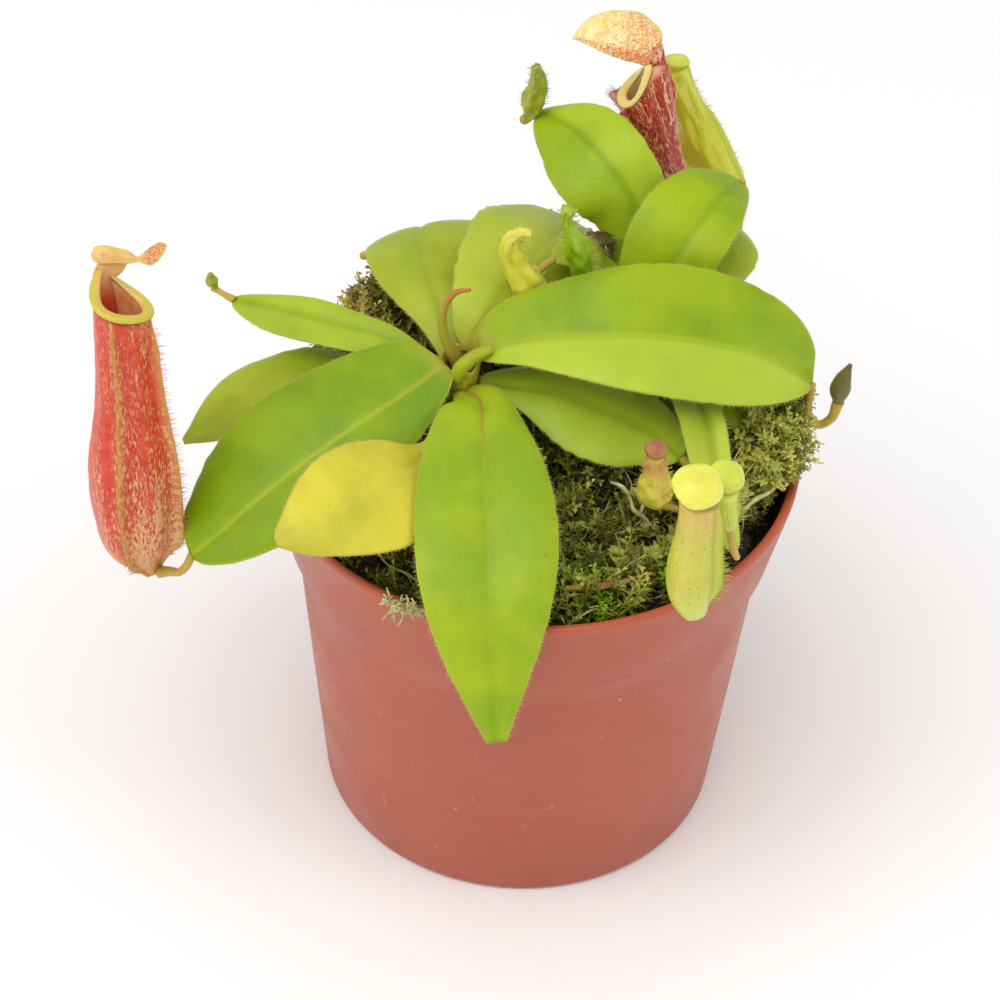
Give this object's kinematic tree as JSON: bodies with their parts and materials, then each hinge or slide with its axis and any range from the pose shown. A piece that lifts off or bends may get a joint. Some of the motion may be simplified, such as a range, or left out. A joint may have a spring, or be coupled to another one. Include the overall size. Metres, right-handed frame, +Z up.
{
  "type": "potted pitcher plant",
  "caption": "Young tropical pitcher plant with broad waxy leaves and red and pale hanging pitchers, rooted in moss in a round plastic nursery pot.",
  "frame": {"origin": "centre of the pot's foot on the surface it stands on", "axes": "+Z up, -Y towards the side that the picture shows nearest, +X to the picture's right"},
  "size_m": [0.1245, 0.1175, 0.1269],
  "materials": {
    "pot": "satin red-brown plastic",
    "peat": "dark damp compost",
    "moss": "shaggy live and dry sphagnum",
    "stem": "waxy stem",
    "leaf": "waxy yellow-green leaf",
    "shaded_leaf": "waxy green leaf",
    "old_leaf": "yellowed waxy leaf",
    "red_pitcher": "waxy red pitcher with cream flecks",
    "rim": "glossy ribbed rim",
    "lid": "thin speckled lid",
    "pale_pitcher": "waxy pale yellow-green pitcher",
    "brown_pitcher": "waxy brown-orange pitcher"
  },
  "bodies": {
    "root": {"pot": "pot", "peat": "peat", "moss": "moss", "stem_front": "stem", "stem_back": "stem", "leaf_right_large": "leaf", "leaf_left_large": "leaf", "leaf_front": "leaf", "leaf_yellow": "old_leaf", "leaf_right_low": "leaf", "leaf_back_left": "shaded_leaf", "leaf_back_middle": "shaded_leaf", "leaf_left_upper": "leaf", "leaf_left_lower": "shaded_leaf", "leaf_back_narrow": "leaf", "leaf_tall": "leaf", "leaf_upper_right": "leaf", "leaf_right_back": "shaded_leaf", "leaf_folded": "shaded_leaf", "leaf_right_hidden": "shaded_leaf", "leaf_under": "shaded_leaf", "leaf_back": "shaded_leaf", "leaf_short_left": "shaded_leaf", "leaf_short_back": "leaf", "young_leaf": "shaded_leaf", "pitcher_left": "red_pitcher", "pitcher_left_rim": "rim", "pitcher_back": "red_pitcher", "pitcher_back_rim": "rim", "pitcher_pale_front": "pale_pitcher", "pitcher_pale_right": "pale_pitcher", "pitcher_small": "brown_pitcher", "pitcher_green_back": "pale_pitcher", "pitcher_withered": "pale_pitcher", "bud_green_back": "leaf", "bud_between_leaves": "leaf", "bud_tall_leaf": "shaded_leaf", "bud_right_tendril": "brown_pitcher", "bud_left_tendril": "shaded_leaf", "bud_back_tendril": "shaded_leaf", "pitcher_brown_old": "brown_pitcher", "lid_left": "lid", "lid_back": "lid", "lid_pale_front": "lid", "lid_pale_right": "lid", "lid_small": "lid", "lid_green_back": "pale_pitcher"}
  },
  "joints": []
}
